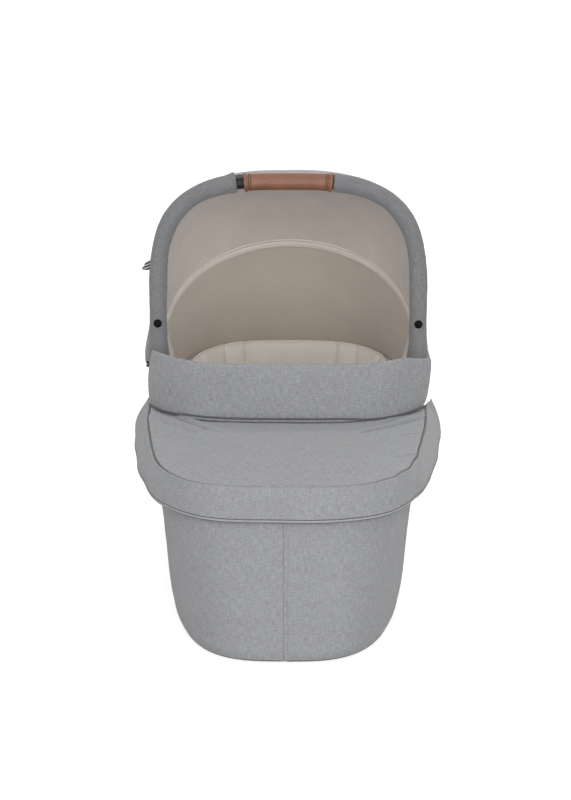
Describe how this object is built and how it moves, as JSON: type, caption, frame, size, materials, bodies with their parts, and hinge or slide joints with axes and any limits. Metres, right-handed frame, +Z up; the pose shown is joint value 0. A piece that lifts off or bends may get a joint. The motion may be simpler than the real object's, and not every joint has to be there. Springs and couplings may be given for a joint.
{
  "type": "carrycot",
  "caption": "Soft-sided carrycot with a folding hood on a carrying bow, a padded liner, and an apron with a stand-up wind flap.",
  "frame": {"origin": "centre of the flat underside of the base pan", "axes": "+X to the right side seen from the foot end, +Y to the head end, +Z up"},
  "size_m": [0.487, 0.8218, 0.6246],
  "materials": {
    "cover_cloth": "matt grey melange weave",
    "lining_cloth": "matt taupe lining",
    "liner_cloth": "matt cream quilted knit",
    "mattress_cloth": "matt off-white knit",
    "grip_leather": "brown leatherette with a soft sheen",
    "black_plastic": "black, fine texture",
    "black_tube": "black coated",
    "dark_piping": "dark grey binding",
    "tag_cloth": "dark woven tape",
    "board": "plain sheet",
    "steel": "zinc plated"
  },
  "bodies": {
    "cot": {"base_pan": "black_plastic", "body_cover": "cover_cloth", "rim_frame": "steel", "rim_trim": "dark_piping", "end_strut_head": "steel", "end_strut_foot": "steel", "liner": "liner_cloth", "mattress_board": "board", "mattress": "mattress_cloth", "hub_plate_left": "black_plastic", "hub_plate_right": "black_plastic", "hub_pin_left": "steel", "hub_pin_right": "steel", "hub_cap_left": "black_plastic", "hub_cap_right": "black_plastic", "hub_spring_left": "steel", "hub_spring_right": "steel", "adapter_socket_left": "black_plastic", "adapter_socket_right": "black_plastic", "release_spring_left": "steel", "release_spring_right": "steel"},
    "hood_rib": {"mid_rib": "black_plastic", "canopy_rear": "cover_cloth", "lining_rear": "lining_cloth"},
    "hood_bow": {"bow_tube": "black_tube", "sleeve_left": "cover_cloth", "sleeve_right": "cover_cloth", "grip_cover": "grip_leather", "stud_left": "black_plastic", "stud_right": "black_plastic", "label_tag": "tag_cloth", "canopy_front": "cover_cloth", "lining_front": "lining_cloth"},
    "apron": {"apron_top": "cover_cloth", "apron_skirt": "cover_cloth", "apron_piping": "dark_piping", "hem_binding": "dark_piping"},
    "flap": {"wind_flap": "cover_cloth", "flap_piping": "dark_piping"},
    "hub_press_left": {"hub_button_left": "black_plastic"},
    "hub_press_right": {"hub_button_right": "black_plastic"},
    "release_left": {"release_button_left": "black_plastic"},
    "release_right": {"release_button_right": "black_plastic"}
  },
  "joints": [
    {"name": "hood_rib_hinge", "type": "hinge", "parent": "cot", "child": "hood_rib", "pos_m": [0, 0.03, 0.297], "axis": [-1, 0, 0], "range_deg": [0, 25.2], "deforming": ["canopy_rear", "lining_rear"]},
    {"name": "hood_bow_hinge", "type": "hinge", "parent": "hood_rib", "child": "hood_bow", "pos_m": [0, 0.03, 0.297], "axis": [-1, 0, 0], "range_deg": [0, 42], "deforming": ["canopy_front", "lining_front"]},
    {"name": "apron_hinge", "type": "hinge", "parent": "cot", "child": "apron", "pos_m": [0, -0.414, 0.22095], "axis": [1, 0, 0], "range_deg": [0, 70]},
    {"name": "flap_hinge", "type": "hinge", "parent": "apron", "child": "flap", "pos_m": [0, -0.1045, 0.2692], "axis": [1, 0, 0], "range_deg": [0, 75]},
    {"name": "hub_press_left_slide", "type": "slide", "parent": "cot", "child": "hub_press_left", "axis": [1, 0, 0], "range_m": [0, 0.0025], "stiffness_N_per_m": 400},
    {"name": "hub_press_right_slide", "type": "slide", "parent": "cot", "child": "hub_press_right", "axis": [-1, 0, 0], "range_m": [0, 0.0025], "stiffness_N_per_m": 400},
    {"name": "release_left_slide", "type": "slide", "parent": "cot", "child": "release_left", "axis": [1, 0, 0], "range_m": [0, 0.0022], "stiffness_N_per_m": 400},
    {"name": "release_right_slide", "type": "slide", "parent": "cot", "child": "release_right", "axis": [-1, 0, 0], "range_m": [0, 0.0022], "stiffness_N_per_m": 400}
  ],
  "couplings": [
    {"joint": "hood_rib_hinge", "follows": "hood_bow_hinge", "ratio": 0.6}
  ]
}
